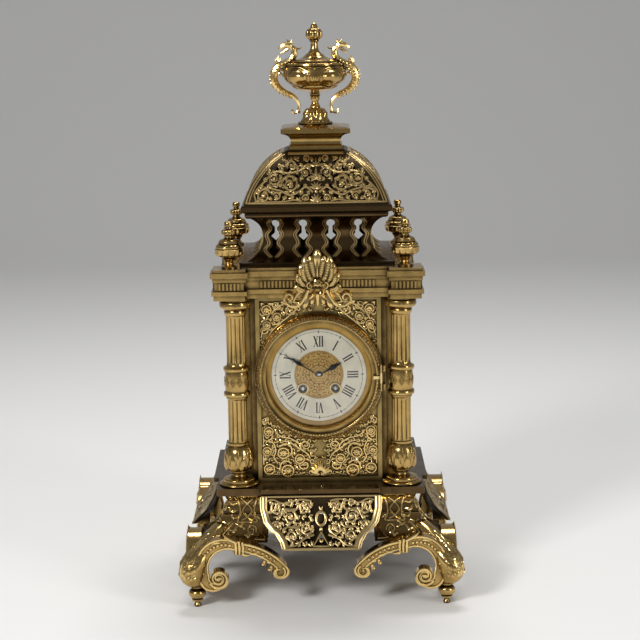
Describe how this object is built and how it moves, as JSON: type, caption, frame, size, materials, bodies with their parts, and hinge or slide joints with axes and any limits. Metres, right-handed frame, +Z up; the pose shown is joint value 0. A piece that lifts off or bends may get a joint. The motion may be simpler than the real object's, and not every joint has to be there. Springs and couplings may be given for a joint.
{
  "type": "bracket clock",
  "caption": "Square four-column brass bracket clock on scroll legs, with pierced gallery, dome and covered urn, and a spring-driven movement behind a hinged glazed bezel.",
  "frame": {"origin": "on the floor under the middle of the case", "axes": "+Z up, -Y out of the dial, +X to the right seen from the front"},
  "size_m": [0.2758, 0.2758, 0.5568],
  "materials": {
    "lacquered_brass": "polished and lacquered cast brass, brown in the recesses",
    "bright_brass": "polished",
    "gilt_brass": "matt gilt, engraved",
    "movement_brass": "brushed",
    "silvered_brass": "silvered and satin",
    "black_steel": "blackened hands",
    "arbor_steel": "polished",
    "bell_metal": "turned",
    "glass": "clear, convex"
  },
  "bodies": {
    "case": {"leg_front_right": "lacquered_brass", "leg_back_right": "lacquered_brass", "leg_back_left": "lacquered_brass", "leg_front_left": "lacquered_brass", "flared_base": "lacquered_brass", "apron_front": "lacquered_brass", "apron_right": "lacquered_brass", "apron_back": "lacquered_brass", "apron_left": "lacquered_brass", "base_plate": "lacquered_brass", "column_front_right": "lacquered_brass", "column_back_right": "lacquered_brass", "column_back_left": "lacquered_brass", "column_front_left": "lacquered_brass", "case_box": "lacquered_brass", "panel_front": "lacquered_brass", "panel_right": "lacquered_brass", "panel_back": "lacquered_brass", "panel_left": "lacquered_brass", "entablature": "lacquered_brass", "finial_front_right": "lacquered_brass", "finial_back_right": "lacquered_brass", "finial_back_left": "lacquered_brass", "finial_front_left": "lacquered_brass", "gallery": "lacquered_brass", "dome_plate": "lacquered_brass", "dome": "lacquered_brass", "urn_plinth": "lacquered_brass", "urn_foot": "lacquered_brass", "urn_bowl": "lacquered_brass", "urn_lid": "bright_brass", "urn_handles": "lacquered_brass", "crest": "lacquered_brass", "ornament_ring": "bright_brass", "dial_plate": "gilt_brass", "chapter_ring": "silvered_brass", "movement_front_plate": "movement_brass", "movement_back_plate": "movement_brass", "bell_stand": "arbor_steel", "bell": "bell_metal"},
    "bezel": {"front_bezel": "bright_brass", "bezel_glass": "glass"},
    "minute": {"minute_hand": "black_steel", "cannon_pinion": "arbor_steel", "centre_wheel": "movement_brass"},
    "hour": {"hour_hand": "black_steel", "hour_wheel": "movement_brass"},
    "motion_wheel": {"minute_work": "movement_brass"},
    "going_barrel": {"going_barrel": "movement_brass"},
    "strike_barrel": {"strike_barrel": "movement_brass"},
    "going_winder": {"going_winder": "arbor_steel"},
    "strike_winder": {"strike_winder": "arbor_steel"},
    "third_wheel": {"third_wheel": "movement_brass"},
    "escape_wheel": {"escape_wheel": "movement_brass"},
    "pallets": {"pallets": "arbor_steel"},
    "pendulum": {"pendulum": "movement_brass"},
    "pin_wheel": {"pin_wheel": "movement_brass"},
    "hammer": {"hammer": "arbor_steel"},
    "door": {"back_door": "lacquered_brass"}
  },
  "joints": [
    {"name": "minute_hand_turn", "type": "hinge", "parent": "case", "child": "minute", "pos_m": [0, 0, 0.2165], "axis": [0, 1, 0], "continuous": true},
    {"name": "hour_hand_turn", "type": "hinge", "parent": "case", "child": "hour", "pos_m": [0, 0, 0.2165], "axis": [0, 1, 0], "continuous": true},
    {"name": "motion_wheel_turn", "type": "hinge", "parent": "case", "child": "motion_wheel", "pos_m": [0, 0, 0.2273], "axis": [0, 1, 0], "continuous": true},
    {"name": "going_barrel_turn", "type": "hinge", "parent": "case", "child": "going_barrel", "pos_m": [-0.016, 0, 0.2029], "axis": [0, 1, 0], "continuous": true},
    {"name": "third_wheel_turn", "type": "hinge", "parent": "case", "child": "third_wheel", "pos_m": [-0.01273, 0, 0.22923], "axis": [0, 1, 0], "continuous": true},
    {"name": "escape_wheel_turn", "type": "hinge", "parent": "case", "child": "escape_wheel", "pos_m": [0, 0, 0.23688], "axis": [0, 1, 0], "continuous": true},
    {"name": "strike_barrel_turn", "type": "hinge", "parent": "case", "child": "strike_barrel", "pos_m": [0.016, 0, 0.2029], "axis": [0, 1, 0], "continuous": true},
    {"name": "pin_wheel_turn", "type": "hinge", "parent": "case", "child": "pin_wheel", "pos_m": [0.02001, 0, 0.22351], "axis": [0, 1, 0], "continuous": true},
    {"name": "going_winding", "type": "hinge", "parent": "case", "child": "going_winder", "pos_m": [-0.016, 0, 0.2029], "axis": [0, 1, 0], "range_deg": [0, 1800]},
    {"name": "strike_winding", "type": "hinge", "parent": "case", "child": "strike_winder", "pos_m": [0.016, 0, 0.2029], "axis": [0, 1, 0], "range_deg": [0, 1800]},
    {"name": "pendulum_swing", "type": "hinge", "parent": "case", "child": "pendulum", "pos_m": [0, 0, 0.24728], "axis": [0, 1, 0], "range_deg": [-4, 4]},
    {"name": "pallet_rock", "type": "hinge", "parent": "case", "child": "pallets", "pos_m": [0, 0, 0.24728], "axis": [0, 1, 0], "range_deg": [-4, 4]},
    {"name": "hammer_swing", "type": "hinge", "parent": "case", "child": "hammer", "pos_m": [0.038, 0, 0.2185], "axis": [0, -1, 0], "range_deg": [0, 8]},
    {"name": "front_bezel_hinge", "type": "hinge", "parent": "case", "child": "bezel", "pos_m": [0.0605, -0.0874, 0.2165], "axis": [0, 0, 1], "range_deg": [0, 110]},
    {"name": "back_door_hinge", "type": "hinge", "parent": "case", "child": "door", "pos_m": [-0.0564, 0.0803, 0.2165], "axis": [0, 0, 1], "range_deg": [0, 110]}
  ],
  "couplings": [
    {"joint": "hour_hand_turn", "follows": "minute_hand_turn", "ratio": 0.083333},
    {"joint": "motion_wheel_turn", "follows": "minute_hand_turn", "ratio": -0.33333},
    {"joint": "going_barrel_turn", "follows": "minute_hand_turn", "ratio": -0.16667},
    {"joint": "third_wheel_turn", "follows": "minute_hand_turn", "ratio": -7},
    {"joint": "escape_wheel_turn", "follows": "minute_hand_turn", "ratio": 56},
    {"joint": "pin_wheel_turn", "follows": "strike_barrel_turn", "ratio": -6},
    {"joint": "pallet_rock", "follows": "pendulum_swing", "ratio": 1}
  ]
}
